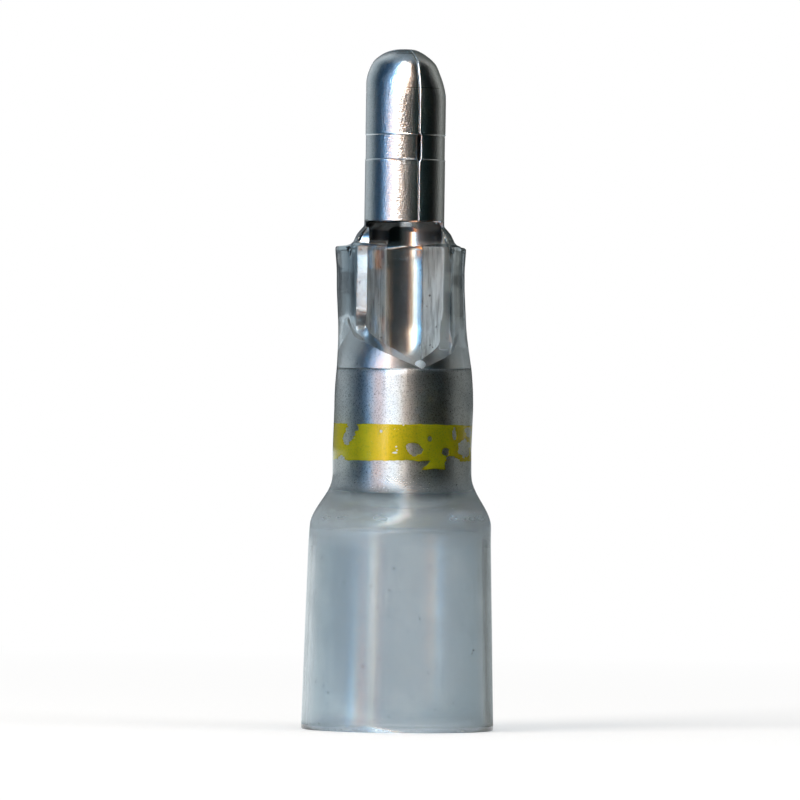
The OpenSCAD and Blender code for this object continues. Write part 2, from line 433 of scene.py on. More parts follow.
# Chips in the ink: offset as seen from the front, height above the band's foot, half width, half height
INK_CHIPS = [
    (-2.42, 1.7, 0.34, 0.24), (-2.58, 1.35, 0.27, 0.34), (-2.72, 1.0, 0.24, 0.24),
    (0.67, 0.58, 0.43, 0.3), (1.42, 1.09, 0.1, 0.15), (-1.0, 1.45, 0.08, 0.09),
    (2.21, 0.48, 0.19, 0.23), (3.18, 0.65, 0.26, 0.42), (2.6, 0.05, 0.3, 0.2),
    (3.3, 1.45, 0.12, 0.25), (0.1, 1.79, 0.05, 0.06), (-3.0, 0.05, 0.18, 0.1),
    (2.62, 1.35, 0.08, 0.26), (-0.33, 1.57, 0.045, 0.045), (-0.24, 0.69, 0.07, 0.05),
    (-0.2, 0.53, 0.05, 0.04), (-0.92, 0.39, 0.12, 0.035), (-0.3, 0.39, 0.16, 0.035)]


def ink_cover(a, z):
    """Above zero where ink is left: the printed band with its run below and its chips."""
    rough = 0.05 * waves(a, z * 0.6, 3, 4) + 0.03 * waves(a, z, 4, 9)
    left = np.clip(-a - 0.75, 0, 1)
    above_foot = z - BAND_Z0 - 0.4 * rough - 0.25 * left * (rough + 0.05)
    below_top = BAND_Z1 + 0.06 - z - 0.25 * rough
    cover = np.minimum(above_foot, below_top)
    # A slanted tongue of ink has run down below the band
    run_left = seen_angle(1.05 + 1.05 * np.clip(z - BAND_Z0 + 0.4, 0, 0.5))
    run_right = seen_angle(2.18)
    run_width = SLEEVE_R * np.minimum(a - run_left, run_right - a)
    run = np.minimum(z - BAND_Z0 + 0.42, run_width) - 0.5 * rough
    cover = np.maximum(cover, np.where(z < BAND_Z0 + 0.15, run, -1))
    for offset, height, half_width, half_height in INK_CHIPS:
        middle = seen_angle(offset)
        stretch = (seen_angle(offset + 0.02) - seen_angle(offset - 0.02)) / 0.04
        aside = (a - middle) / (half_width * stretch)
        outside = np.hypot(aside, (z - BAND_Z0 - height) / half_height) - 1
        ragged = 1.1 * rough * min(1, half_width / 0.2)
        cover = np.minimum(cover, outside * min(half_width, half_height) + ragged)
    worn = waves(a, z, 11, 2.2) + 0.5 * waves(a, z, 12, 6)
    back = step(np.abs(a), 1.5, 1.9)
    return np.minimum(cover, 0.2 * (1.55 - worn) + 0.6 * (1 - back))


def ink_band(material):
    """Thin printed band on the sleeve, with real chips."""
    a = np.radians(np.linspace(-180, 180, 601))
    z = np.linspace(BAND_Z0 - 0.6, BAND_Z1 + 0.12, 64)
    cover = ink_cover(a[None, :], z[:, None])
    points, faces = [], []
    for i in range(len(z) - 1):
        for j in range(len(a) - 1):
            corners = [(a[j], z[i]), (a[j + 1], z[i]), (a[j + 1], z[i + 1]), (a[j], z[i + 1])]
            values = (cover[i, j], cover[i, j + 1], cover[i + 1, j + 1], cover[i + 1, j])
            inked = clip_cell(corners, values)
            if len(inked) > 2:
                faces.append(tuple(range(len(points), len(points) + len(inked))))
                points += inked
    flat = np.array(points)
    piece = make_piece("ink_band", around(BAND_R, flat[:, 0], flat[:, 1]), faces, material,
                       node="colour_band", sharp=50)
    skin = piece.modifiers.new("thickness", "SOLIDIFY")
    skin.thickness = INK_THICKNESS * MM
    skin.offset = -1
    return piece


# Tube and adhesive

TUBE_OUTSIDE = radius_at(
    eased(TUBE_RIM_R, TUBE_NECK_R, RIM_Z, RIM_LEN)
    + eased(TUBE_NECK_R, TUBE_WAIST_R, BARREL_Z1 + WAIST_ABOVE, WAIST_LEN)
    + eased(TUBE_WAIST_R, TUBE_TAIL_R, FLARE_Z1, FLARE_LEN)
    + [(TUBE_END_R, 0)])
LINING_OUTSIDE = radius_at(
    eased(SLEEVE_R + LINER_WALL, TUBE_TAIL_R - JACKET_WALL, LINER_FLARE_Z1, FLARE_LEN)
    + [(TUBE_END_R - JACKET_WALL, 0)])
# Rows that the tube's bore and the lining share in the flare
FLARE_ROWS = (BARREL_Z0 - 2.4, BARREL_Z0 - 0.1, 40)


def tube_sway(z):
    """The shrunk tube doesn't run quite true: its sideways shift at each height."""
    places = [0, 9.5, 12, 14, 16, 18, 20, 22, 24.2]
    shifts = [0, 0, 0.08, 0.05, 0.1, 0.09, -0.03, -0.14, -0.17]
    return np.interp(z, places, shifts)


def loose_tail(z):
    """1 in the tail, which is free of the metal, and 0 from the end of the sleeve up."""
    return 1 - step(z, BARREL_Z0 - 1.2, BARREL_Z0)


def out_of_round(a, z):
    """The loose tail is a little oval."""
    return 0.12 * np.cos(2 * (a + math.pi / 4)) * (1 - step(z, BARREL_Z0 - 2.2, BARREL_Z0))


def beside_window(a):
    """0 in front of the window and 1 beside it."""
    return step(np.abs(np.degrees(a)), WINDOW_HALF - 7, WINDOW_HALF + 7)


def wet_height(a):
    """Height up to which melted adhesive fills the gap around the metal."""
    left = 1.25 * np.exp(-(((a + 1.1) / 0.36) ** 2))
    right = 0.45 * np.exp(-(((a - 1.15) / 0.36) ** 2))
    side = BARREL_Z1 + 0.75 + left + right
    # 1.134 radians is just inside the window's edge
    front = window_floor(np.degrees(np.clip(a, -1.134, 1.134))) - 0.06
    return front + (side - front) * beside_window(a)


def tail_bore(z):
    """Inner radius of the clear tube below the sleeve: adhesive fills the corner under the sleeve's end."""
    filled = step(z, BARREL_Z0 - 1.8, BARREL_Z0 - 0.3)
    return (LINING_OUTSIDE(z) + 0.012) * (1 - filled) + (BARREL_R - 0.03) * filled


def tube_bore(a, z):
    """Inner face of the clear tube: free over the neck, sunk into the metal where the adhesive wets it,
    and along the lining in the tail."""
    metal = BODY_OUTSIDE(z) - 0.025
    beside = beside_window(a)
    wet = wet_height(a)
    dry = step(z, wet - 0.1 - 0.35 * beside, wet + 0.4 + 0.45 * beside)
    upper = metal + (BARREL_R - metal) * dry
    return np.where(z > BARREL_Z1 - 0.02, upper, tail_bore(z)) + out_of_round(a, z)


def tube_top(a, closed):
    """Radii and heights over the tube's top: open across the window, and closed onto the neck by a fillet of
    adhesive elsewhere. The points of both are a radius and a height above the rim."""
    shared = [(TUBE_RIM_R - 0.06, 0)]
    fillet = [(BARREL_R, -0.8), (BARREL_R, -0.12), (2.42, -0.08), (2.33, 0.42), (2.1, 0.76), (1.985, 0.98),
              (2.03, 1.02), (2.2, 0.83), (2.34, 0.66), (2.45, 0.44), (2.53, 0.26), (2.65, 0.14),
              (2.85, 0.065), (3.06, 0.02)] + shared
    open_rim = [(BARREL_R, d) for d in (-0.8, -0.65, -0.5, -0.4, -0.28, -0.23, -0.18, -0.14)]
    open_rim += [(2.655, -0.08), (2.67, -0.04), (2.7, -0.015), (2.78, 0), (2.92, 0), (3.08, 0)] + shared
    lip = np.minimum(0.12 * (np.degrees(a) / 32) ** 2, 0.2)
    r_rows, z_rows = [], []
    for (closed_r, closed_d), (open_r, open_d) in zip(fillet, open_rim):
        raised = open_d + lip * step(open_d, -0.8, -0.14) * (1 - step(open_r, 2.7, 3.0))
        r_rows.append(open_r + (closed_r - open_r) * closed)
        z_rows.append(RIM_Z + raised + (closed_d - raised) * closed)
    return np.concatenate(r_rows), np.concatenate(z_rows)


def clear_tube(material):
    """Clear jacket, fused with the melted lining over the barrel and the neck."""
    a = turn(180, -math.pi)[None, :]
    z_out = heights((RIM_Z - 0.07, BARREL_Z0 + 1.5, 70), (BARREL_Z0 + 1.4, BARREL_Z0 - 2.1, 40),
                    (BARREL_Z0 - 2.3, 0.04, 40))
    z_in = heights((0.04, BARREL_Z0 - 2.5, 28), FLARE_ROWS, (BARREL_Z0, BARREL_Z0 + 0.9, 8),
                   (BARREL_Z0 + 1.1, BARREL_Z1 - 0.2, 12), (BARREL_Z1 - 0.08, BARREL_Z1 + 3.5, 44),
                   (BARREL_Z1 + 3.7, RIM_Z - 1.0, 8))
    ripple = 0.012 * waves(a, 0.25 * z_out, 31, 0.4) * step(z_out, 11, 14)
    ripple = ripple + 0.005 * waves(a, 0.15 * z_out, 32, 0.5)
    r_out = TUBE_OUTSIDE(z_out) + ripple * step(z_out, 0.5, 6) + out_of_round(a, z_out)
    end_out = TUBE_END_R - 0.03 + out_of_round(a, 0)
    end_in = TUBE_END_R - JACKET_WALL + 0.03 + out_of_round(a, 0)
    closed = step(np.abs(a), math.radians(58), math.radians(67))
    r_top, z_top = tube_top(a, closed)
    r = np.concatenate([r_out, end_out, end_in, tube_bore(a, z_in), r_top])
    z = np.concatenate([z_out + 0 * a, 0 * a, 0 * a, z_in + 0 * a, z_top])
    verts = around(r, a, z)
    # The outside sways all along, the bore only where it doesn't cling to the metal
    outside = r > TUBE_OUTSIDE(z) - 0.3
    fillet = closed * step(z, RIM_Z - 0.13, RIM_Z - 0.07)
    free_neck = step(z, BARREL_Z1 + 1.6, BARREL_Z1 + 2.6) * (1 - fillet)
    share = np.where(outside, 1, loose_tail(z) + free_neck)
    verts[..., 0] += tube_sway(z) * share * MM
    return make_piece("clear_tube", verts.reshape(-1, 3), ring_faces(*r.shape, True), material,
                      node="heat_shrink_tube", sharp=42)


def tail_lining(material):
    """Milky adhesive layer inside the open tail."""
    a = turn(144, -math.pi)[None, :]
    z_out = heights((0.01, BARREL_Z0 - 2.5, 40), FLARE_ROWS)
    z_in = z_out[::-1]
    r_out = tail_bore(z_out) - 0.012 + out_of_round(a, z_out)
    wall = 0.02 + (LINER_WALL - 0.03) * (1 - step(z_in, BARREL_Z0 - 1.5, BARREL_Z0 - 0.1))
    r_in = r_out[::-1] - wall + 0.006 * waves(a, 0.1 * z_in, 51, 0.5) * step(z_in, 0, 2)
    r = np.concatenate([r_out, r_in])
    z = np.concatenate([z_out, z_in]) + 0 * a
    verts = around(r, a, z)
    verts[..., 0] += tube_sway(z) * loose_tail(z) * MM
    return make_piece("tail_lining", verts.reshape(-1, 3), ring_faces(*r.shape, True), material,
                      node="adhesive_liner", sharp=50)


def adhesive_bead(material):
    """Drop of adhesive that has risen out of the point of the V-cut."""
    rows, columns = 12, 32
    u = np.linspace(0, math.pi / 2, rows)[:, None]
    v = turn(columns)[None, :]
    along, high, thick = np.cos(u) * np.cos(v), np.sin(u) + 0 * v, np.cos(u) * np.sin(v)
    a = math.radians(SEAM + 0.5) + 0.33 * along / 2.5
    verts = around(2.4 + 0.22 * thick, a, BARREL_Z1 + 0.42 * high).reshape(-1, 3)
    faces = ring_faces(rows, columns, False)
    faces.append(tuple(range(columns)))
    return make_piece("adhesive_bead", verts, faces, material,
                      node=None, sharp=50)


# Helpers for materials

class Shader:
    """The nodes of a material or a world, with short calls for adding and linking them."""

    def __init__(self, owner, output="ShaderNodeOutputMaterial"):
        self.owner = owner
        owner.use_nodes = True
        self.tree = owner.node_tree
        self.tree.nodes.clear()
        self.output = self.add(output)

    @cached_property
    def coords(self):
        """Object coordinates in metres."""
        return self.add("ShaderNodeTexCoord").outputs["Object"]

    def add(self, kind, inputs=None, **settings):
        """A new node; an input is linked to a socket or set to a value."""
        node = self.tree.nodes.new(kind)
        for key, value in settings.items():
            setattr(node, key, value)
        for key, value in (inputs or {}).items():
            if isinstance(value, bpy.types.NodeSocket):
                self.tree.links.new(value, node.inputs[key])
            else:
                node.inputs[key].default_value = value
        return node

    def math(self, operation, a, b=0.0, clamp=False):
        """A function of one or two values."""
        return self.add("ShaderNodeMath", {0: a, 1: b}, operation=operation, use_clamp=clamp).outputs[0]

    def product(self, first, *others):
        """All the values multiplied."""
        for other in others:
            first = self.math("MULTIPLY", first, other)
        return first

    def vector(self, operation, inputs):
        """A function of vectors or colours."""
        return self.add("ShaderNodeVectorMath", inputs, operation=operation).outputs[0]

    def scaled(self, scale):
        """Object coordinates in millimetres times scale, which is one number or three."""
        if not isinstance(scale, tuple):
            scale = (scale, scale, scale)
        factors = tuple(s / MM for s in scale)
        return self.add("ShaderNodeMapping", {"Vector": self.coords, "Scale": factors}).outputs[0]

    def axes(self, vector):
        """The three parts of a vector."""
        return tuple(self.add("ShaderNodeSeparateXYZ", {"Vector": vector}).outputs)

    def axis_distance(self, x, y):
        """Distance from the upright axis."""
        return self.math("SQRT", self.math("ADD", self.product(x, x), self.product(y, y)))

    def noise(self, scale, detail, roughness):
        """Soft noise from 0 to 1, finer with a larger scale."""
        return self.add("ShaderNodeTexNoise", {
            "Vector": self.scaled(scale), "Scale": 1.0, "Detail": detail,
            "Roughness": roughness}).outputs["Fac"]

    def pebbles(self, scale):
        """Distance to the nearest of many scattered points: a fine grain."""
        cells = self.add("ShaderNodeTexVoronoi", {"Vector": self.scaled(scale), "Scale": 1.0})
        return cells.outputs["Distance"]

    def remap(self, value, low, high, to_low=0.0, to_high=1.0):
        """Straight change from to_low at low to to_high at high, held beyond both."""
        return self.add("ShaderNodeMapRange", {
            "Value": value, "From Min": low, "From Max": high,
            "To Min": to_low, "To Max": to_high}).outputs[0]

    def span(self, value, low, full, fading, high):
        """Straight rise from 0 to 1 between low and full, and fall to 0 between fading and high."""
        return self.product(self.remap(value, low, full), self.remap(value, high, fading))

    def distance(self, value, place):
        """How far a value lies from a place."""
        return self.math("ABSOLUTE", self.math("SUBTRACT", value, place))

    def mix(self, factor, a, b):
        """Colour a where the factor is 0, and b where it is 1."""
        return self.add("ShaderNodeMix", {"Factor": factor, 6: a, 7: b}, data_type="RGBA").outputs[2]

    def blend(self, factor, a, b):
        """Surface a where the factor is 0, and b where it is 1."""
        return self.add("ShaderNodeMixShader", {0: factor, 1: a, 2: b}).outputs[0]

    def bump(self, height, distance, strength=1.0, normal=None):
        """Normal of a relief, distance mm deep, on the plain face or on another relief's normal."""
        inputs = {"Height": height, "Distance": distance * MM, "Strength": strength}
        if normal is not None:
            inputs["Normal"] = normal
        return self.add("ShaderNodeBump", inputs).outputs[0]

    def lengthwise(self):
        """Tangent by which brushed reflections follow the part's axis."""
        return self.add("ShaderNodeTangent", direction_type="RADIAL", axis="Z").outputs[0]

    def principled(self, **inputs):
        """A surface; underscores in the names stand for spaces."""
        sockets = {key.replace("_", " "): value for key, value in inputs.items()}
        return self.add("ShaderNodeBsdfPrincipled", sockets).outputs[0]

    def finish(self, surface):
        """Shows the surface, and gives the finished material or world."""
        self.tree.links.new(surface, self.output.inputs["Surface"])
        return self.owner


def new_material(name):
    """The nodes of a new material."""
    return Shader(bpy.data.materials.new(name))


def rgb(r, g, b):
    """An opaque colour."""
    return (r, g, b, 1.0)


WHITE = rgb(1, 1, 1)


# Materials

def crease_line(s, x, y, z, height, low, high):
    """1 along a fine level line on the front of the nose, between two sideways offsets in mm."""
    thin = s.remap(s.distance(z, height), 0.02, 0.008)
    length = s.span(x, low - 0.04, low + 0.04, high - 0.04, high + 0.04)
    return s.product(thin, length, s.remap(y, 0.0, -0.1))


def scuffed_and_shaded_flanks(s, x, streak):
    """Colour of the trough's rubbed flanks: dull with bright streaks, with painted shade that makes the left
    flank darker than the right, and a strip of painted shade along the left one's foot.
    """
    shaded_dull = s.mix(s.remap(x, -0.2, 0.2), rgb(0.32, 0.29, 0.25), rgb(0.42, 0.41, 0.39))
    streaked = s.mix(streak, shaded_dull, rgb(0.97, 0.95, 0.91))
    return s.mix(s.span(x, -1.2, -0.6, -0.3, 0.0), streaked, rgb(0.10, 0.10, 0.09))


def tin_plate():
    """Bright tin plate: fine grain outside, a smooth trough with scuffed, streaky flanks inside the neck,
    and painted shade on the flanks, on the trough's wall above the rim, on the cut faces and along creases
    on the nose.
    """
    s = new_material("tin_plate")
    x, y, z = s.axes(s.scaled(1.0))
    radius = s.axis_distance(x, y)
    grain = s.noise(11, 2, 0.6)
    cloud = s.noise(1.3, 4, 0.6)
    pits = s.remap(s.noise(13, 3, 0.6), 0.52, 0.66)
    streak = s.remap(s.noise((8.0, 8.0, 0.5), 4, 0.65), 0.38, 0.54)

    # Places: the trough, its flanks, its wall above the tube's rim, and the cut faces beside the window;
    # shade is painted on the flanks, the wall above the rim, a notch in the left cut face and the right cut
    # face
    trough = s.product(s.remap(radius, NECK_R - 0.05, NECK_R - 0.09),
                       s.remap(z, WINDOW_TOP + 0.1, WINDOW_TOP - 0.05), s.remap(y, -0.9, -0.8))
    flank = s.math("ADD", s.remap(x, -0.82, -0.95), s.remap(x, 0.95, 1.12))
    scuffed_shaded_flank = s.product(trough, flank, s.remap(z, RIM_Z + 0.4, RIM_Z + 0.1))
    above_rim = s.product(trough, s.remap(z, RIM_Z + 0.05, RIM_Z + 0.4))
    arch_shade = s.product(above_rim, s.remap(x, 0.0, -0.25))
    matt_and_shaded = s.product(above_rim, s.remap(x, 0.5, 0.8))
    notch_shade = s.product(s.span(z, THROAT_Z1 - 0.5, THROAT_Z1 - 0.35, THROAT_Z1 - 0.05, THROAT_Z1 + 0.1),
                        s.remap(radius, NECK_R - 0.03, NECK_R - 0.07),
                        s.remap(x, -1.8, -1.9), s.remap(y, -0.8, -0.85))
    right_cut_shade = s.product(s.remap(x, 1.74, 1.8), s.span(y, -1.3, -1.2, -0.82, -0.76),
                    s.remap(radius, NECK_R + 0.01, NECK_R - 0.02), s.remap(z, WINDOW_TOP, WINDOW_TOP - 0.2))
    crease_shade = s.math("MAXIMUM", crease_line(s, x, y, z, TIP_Z - 0.25, -0.5, 0.3),
                    crease_line(s, x, y, z, TIP_Z - 1.97, 0.0, 1.65))

    colour = s.mix(s.remap(cloud, 0.35, 0.75), rgb(0.90, 0.90, 0.895), rgb(0.80, 0.81, 0.81))
    colour = s.mix(s.product(pits, s.remap(trough, 0.0, 1.0, 0.5, 0.0)), colour, rgb(0.5, 0.5, 0.5))
    # The flanks take their scuffs together with their painted shade
    colour = s.mix(scuffed_shaded_flank, colour, scuffed_and_shaded_flanks(s, x, streak))
    # Painted shade: the left half of the trough's wall above the rim is painted near black
    colour = s.mix(arch_shade, colour, rgb(0.075, 0.08, 0.08))
    # Painted shade: the right of that wall is matt and painted a dark blue-grey
    colour = s.mix(s.product(matt_and_shaded, 0.85), colour, rgb(0.24, 0.28, 0.31))
    # Painted shade: a dark patch where the left cut face has a notch
    colour = s.mix(notch_shade, colour, rgb(0.20, 0.16, 0.12))
    # Painted shade: the right cut face is painted a dull dark grey, unlike the bright left one
    colour = s.mix(right_cut_shade, colour, rgb(0.30, 0.29, 0.26))
    # Painted shade along two fine creases on the front of the nose
    colour = s.mix(s.product(crease_shade, 0.8), colour, rgb(0.10, 0.10, 0.10))

    rough = s.remap(trough, 0.0, 1.0, s.remap(cloud, 0.3, 0.7, 0.18, 0.21), 0.12)
    rough = s.math("ADD", rough, s.product(scuffed_shaded_flank, 0.26))
    rough = s.math("ADD", rough, s.product(s.math("ADD", right_cut_shade, matt_and_shaded, clamp=True), 0.35))
    metal = s.remap(s.math("ADD", scuffed_shaded_flank, right_cut_shade, clamp=True), 0.0, 1.0, 1.0, 0.1)
    grained = s.bump(s.product(grain, s.math("SUBTRACT", 1.0, trough)), 0.015)
    drawn = s.bump(s.product(streak, scuffed_shaded_flank), 0.03, normal=grained)
    # Drawn lengthwise: reflections blur along the part and stay crisp across it
    body = s.principled(Base_Color=colour, Metallic=metal, Roughness=rough, Normal=drawn,
                        Anisotropic=0.25, Anisotropic_Rotation=0.25, Tangent=s.lengthwise())
    duller = s.math("MAXIMUM", rough, 0.28)
    soft = s.principled(Base_Color=colour, Metallic=metal, Roughness=duller, Normal=drawn)
    return s.finish(s.blend(s.remap(trough, 0.0, 1.0, 0.28, 0.0), body, soft))


def sleeve_plate():
    """Satin plate of the sleeve, speckled by its rolled grain."""
    s = new_material("sleeve_plate")
    speckle = s.noise(14, 3, 0.65)
    cloud = s.noise(1.1, 4, 0.6)
    colour = s.mix(s.remap(cloud, 0.35, 0.7), rgb(0.92, 0.92, 0.91), rgb(0.80, 0.81, 0.80))
    colour = s.mix(s.remap(speckle, 0.49, 0.64, 0.0, 0.75), colour, rgb(0.40, 0.40, 0.39))
    rough = s.remap(speckle, 0.35, 0.7, 0.35, 0.40)
    return s.finish(s.principled(
        Base_Color=colour, Metallic=1.0, Roughness=rough, Normal=s.bump(s.pebbles(15), 0.004),
        Anisotropic=0.85, Anisotropic_Rotation=0.25, Tangent=s.lengthwise()))


def yellow_ink():
    """Thin yellow lacquer: golden where the metal under it shines, olive where it doesn't."""
    s = new_material("yellow_ink")
    cloud = s.noise(1.6, 4, 0.6)
    speckle = s.noise(12, 3, 0.6)
    colour = s.mix(s.remap(cloud, 0.3, 0.7), rgb(0.97, 0.61, 0.025), rgb(0.90, 0.60, 0.025))
    colour = s.mix(s.remap(speckle, 0.5, 0.68, 0.0, 0.55), colour, rgb(0.45, 0.42, 0.02))
    rough = s.remap(speckle, 0.3, 0.7, 0.3, 0.42)
    body = s.principled(Base_Color=colour, Metallic=0.95, Roughness=rough,
                        Normal=s.bump(speckle, 0.008, 0.5))
    tone = s.mix(cloud, rgb(0.36, 0.46, 0.008), rgb(0.44, 0.49, 0.01))
    tone = s.mix(s.remap(speckle, 0.5, 0.68, 0.0, 0.6), tone, rgb(0.20, 0.26, 0.006))
    film = s.add("ShaderNodeBsdfDiffuse", {"Color": tone}).outputs[0]
    return s.finish(s.blend(0.38, body, film))


def let_lamps_through(s, surface, tint):
    """Shadow rays pass through the clear plastic, so that lamps reach what is inside."""
    clear = s.add("ShaderNodeBsdfTransparent", {"Color": tint}).outputs[0]
    return s.blend(s.add("ShaderNodeLightPath").outputs["Is Shadow Ray"], surface, clear)


def clear_jacket():
    """Clear shrunk tube, faintly blue-grey, with drawn lines and small specks."""
    s = new_material("clear_jacket")
    low, high, rim = BARREL_Z0, BARREL_Z1, RIM_Z
    x, _, z = s.axes(s.scaled(1.0))
    lines = s.noise((3.2, 3.2, 0.12), 3, 0.55)
    cloud = s.noise(0.7, 3, 0.5)
    speck = s.remap(s.noise(5.5, 1, 0.4), 0.755, 0.78)

    colour = s.mix(s.remap(z, high + 0.2, high + 1.2), rgb(0.95, 0.965, 0.975), rgb(0.76, 0.82, 0.86))
    colour = s.mix(s.remap(cloud, 0.3, 0.7, 0.0, 0.3), colour, rgb(0.70, 0.77, 0.82))
    # Painted shade: the corner under the sleeve's end and the sides of the neck are tinted darker
    corner = s.span(z, low - 1.0, low - 0.2, low + 0.05, low + 0.4)
    colour = s.mix(corner, colour, rgb(0.40, 0.43, 0.43))
    sides = s.math("MAXIMUM", s.remap(x, -2.6, -2.75), s.span(x, 2.0, 2.15, 2.42, 2.55))
    shade = s.product(sides, s.remap(s.distance(z, rim - 1.75), 0.35, 0.6, 0.2, 1.0),
                      s.remap(z, high + 2.2, high + 2.9))
    colour = s.mix(shade, colour, rgb(0.34, 0.40, 0.435))
    colour = s.mix(speck, colour, rgb(0.12, 0.12, 0.13))

    # Satin in the tail, the flare and the fillet above the rim
    bent = s.span(z, low - 2.7, low - 1.1, low + 0.9, low + 1.4)
    satin = s.math("ADD", s.remap(z, low - 0.7, low - 1.9, 0.0, 0.06), s.product(bent, 0.19))
    satin = s.math("ADD", satin, s.remap(z, rim + 0.02, rim + 0.15, 0.0, 0.15))
    rough = s.math("ADD", s.remap(cloud, 0.3, 0.7, 0.04, 0.08), satin)
    body = s.principled(Base_Color=colour, Roughness=rough, IOR=TUBE_INDEX, Normal=s.bump(lines, 0.012, 0.5),
                        Transmission_Weight=1.0)

    # The adhesive is cloudy in the flare and along its upper edge beside the window
    flare = s.span(z, low - 2.7, low - 1.1, low - 0.4, low + 0.2)
    lower = s.remap(z, low - 0.5, low - 1.5)
    edge = s.product(s.span(z, high + 0.4, high + 1.0, high + 2.1, high + 2.7),
                     s.remap(s.math("ABSOLUTE", x), 1.7, 2.1))
    haze = s.mix(cloud, rgb(0.38, 0.43, 0.45), rgb(0.48, 0.53, 0.55))
    milk = s.add("ShaderNodeBsdfDiffuse", {"Color": s.mix(lower, haze, rgb(0.62, 0.71, 0.76))}).outputs[0]
    milky = s.math("ADD", s.product(flare, s.remap(lower, 0, 1, 0.2, 0.27)), s.product(edge, 0.22))
    return s.finish(let_lamps_through(s, s.blend(milky, body, milk), rgb(0.85, 0.88, 0.9)))


def hot_melt(name, low, high):
    """Milky adhesive: part of the light passes, and the rest, low to high, scatters in a grey-blue haze."""
    s = new_material(name)
    z = s.axes(s.scaled(1.0))[2]
    cloud = s.noise(0.55, 4, 0.6)
    lines = s.noise((5.0, 5.0, 0.12), 4, 0.6)
    mottle = s.math("ADD", s.product(cloud, 0.5), s.product(lines, 0.5))
    upper_end = s.remap(z, BARREL_Z0 - 2.1, BARREL_Z0 - 0.7, 0.0, 0.4)
    ends = s.math("ADD", upper_end, s.remap(z, 0.9, 0.0, 0.0, 0.25))
    haze = s.math("ADD", s.remap(mottle, 0.35, 0.65, low, high), ends, clamp=True)
    colour = s.mix(cloud, rgb(0.75, 0.80, 0.825), rgb(0.81, 0.845, 0.86))
    milk = s.principled(Base_Color=colour, Roughness=0.3, IOR=1.45, Normal=s.bump(lines, 0.02, 0.5))
    back = s.add("ShaderNodeBsdfTranslucent", {"Color": colour}).outputs[0]
    clear = s.add("ShaderNodeBsdfTransparent", {"Color": rgb(0.95, 0.97, 0.98)}).outputs[0]
    body = s.blend(haze, clear, s.blend(0.4, milk, back))
    # Its face shines where it is seen at a slant
    shine = s.add("ShaderNodeBsdfGlossy", {"Color": WHITE, "Roughness": 0.15}).outputs[0]
    slant = s.math("POWER", s.add("ShaderNodeLayerWeight", {"Blend": 0.5}).outputs["Facing"], 5.0)
    return s.finish(s.blend(s.remap(slant, 0.0, 1.0, 0.04, 0.8), body, shine))


# Studio

def white_for_view(s):
    """1 for camera, glossy and transmission rays, else 0."""
    path = s.add("ShaderNodeLightPath")
    seen = s.math("MAXIMUM", path.outputs["Is Camera Ray"], path.outputs["Is Glossy Ray"])
    return s.math("MAXIMUM", seen, path.outputs["Is Transmission Ray"])


def floor_paint():
    """Pale paint that runs out into the white backdrop away from the part."""
    s = new_material("floor_paint")
    tone = s.mix(s.noise(0.02, 3, 0.5), rgb(0.80, 0.80, 0.80), rgb(0.83, 0.83, 0.83))
    paint = s.add("ShaderNodeBsdfDiffuse", {"Color": tone}).outputs[0]
    seen = white_for_view(s)
    lift = s.add("ShaderNodeEmission", {"Color": WHITE, "Strength": s.product(seen, 0.3)}).outputs[0]
    near = s.add("ShaderNodeAddShader", {0: paint, 1: lift}).outputs[0]
    backdrop = s.add("ShaderNodeEmission", {"Color": WHITE, "Strength": seen}).outputs[0]
    x, y, _ = s.axes(s.coords)
    return s.finish(s.blend(s.remap(s.axis_distance(x, y), 0.02, 0.12), near, backdrop))


def floor():
    """A wide round floor just below the part."""
    radius, drop = 4, 0.00002
    edge = [(radius * math.cos(t), radius * math.sin(t), -drop) for t in turn(96)]
    mesh = bpy.data.meshes.new("floor")
    mesh.from_pydata(edge, [], [tuple(range(len(edge)))])
    mesh.materials.append(floor_paint())
    add_object("floor", mesh)


CARD_STRENGTH = 3.0


def colour_ramp(s, place, stops):
    """Colours by azimuth in degrees, stored as shares of the cards' strength."""
    ramp = s.add("ShaderNodeValToRGB", {"Fac": place})
    elements = ramp.color_ramp.elements
    while len(elements) < len(stops):
        elements.new(0.5)
    for element, (degrees, colour) in zip(elements, stops):
        element.position = degrees / 360 + 0.5
        element.color = rgb(*(c / CARD_STRENGTH for c in colour))
    return ramp.outputs[0]


def grey_cards(s, angle, place, z):
    """Dark cards beside the key and grey ones at the sides, with a darker strip along those behind."""
    cards = colour_ramp(s, place, [
        (-180, (0.05, 0.07, 0.08)), (-166, (0.08, 0.10, 0.12)), (-154, (0.58, 0.64, 0.68)),
        (-142, (0.48, 0.55, 0.59)), (-129, (0.36, 0.43, 0.48)), (-112, (0.24, 0.31, 0.35)),
        (-100, (0.03, 0.06, 0.09)), (-76, (0.005, 0.025, 0.06)), (-58, (0.02, 0.07, 0.15)),
        (-40, (0.05, 0.10, 0.15)), (-5, (0.03, 0.035, 0.035)), (10, (0.03, 0.04, 0.04)),
        (30, (0.01, 0.02, 0.02)), (90, (0.0, 0.0, 0.0)), (100, (0.02, 0.02, 0.02)),
        (111, (0.10, 0.105, 0.10)), (119, (0.15, 0.16, 0.15)), (124, (0.60, 0.62, 0.60)),
        (130, (0.22, 0.23, 0.22)), (145, (0.16, 0.17, 0.16)), (156, (0.12, 0.13, 0.12)),
        (166, (0.05, 0.06, 0.06)), (180, (0.05, 0.07, 0.08))])
    strip = s.product(s.span(z, 0.009, 0.012, 0.033, 0.036), s.remap(s.math("ABSOLUTE", angle), 100, 108))
    return s.vector("SCALE", {0: cards, "Scale": s.remap(strip, 0, 1, 1.0, 0.32)})


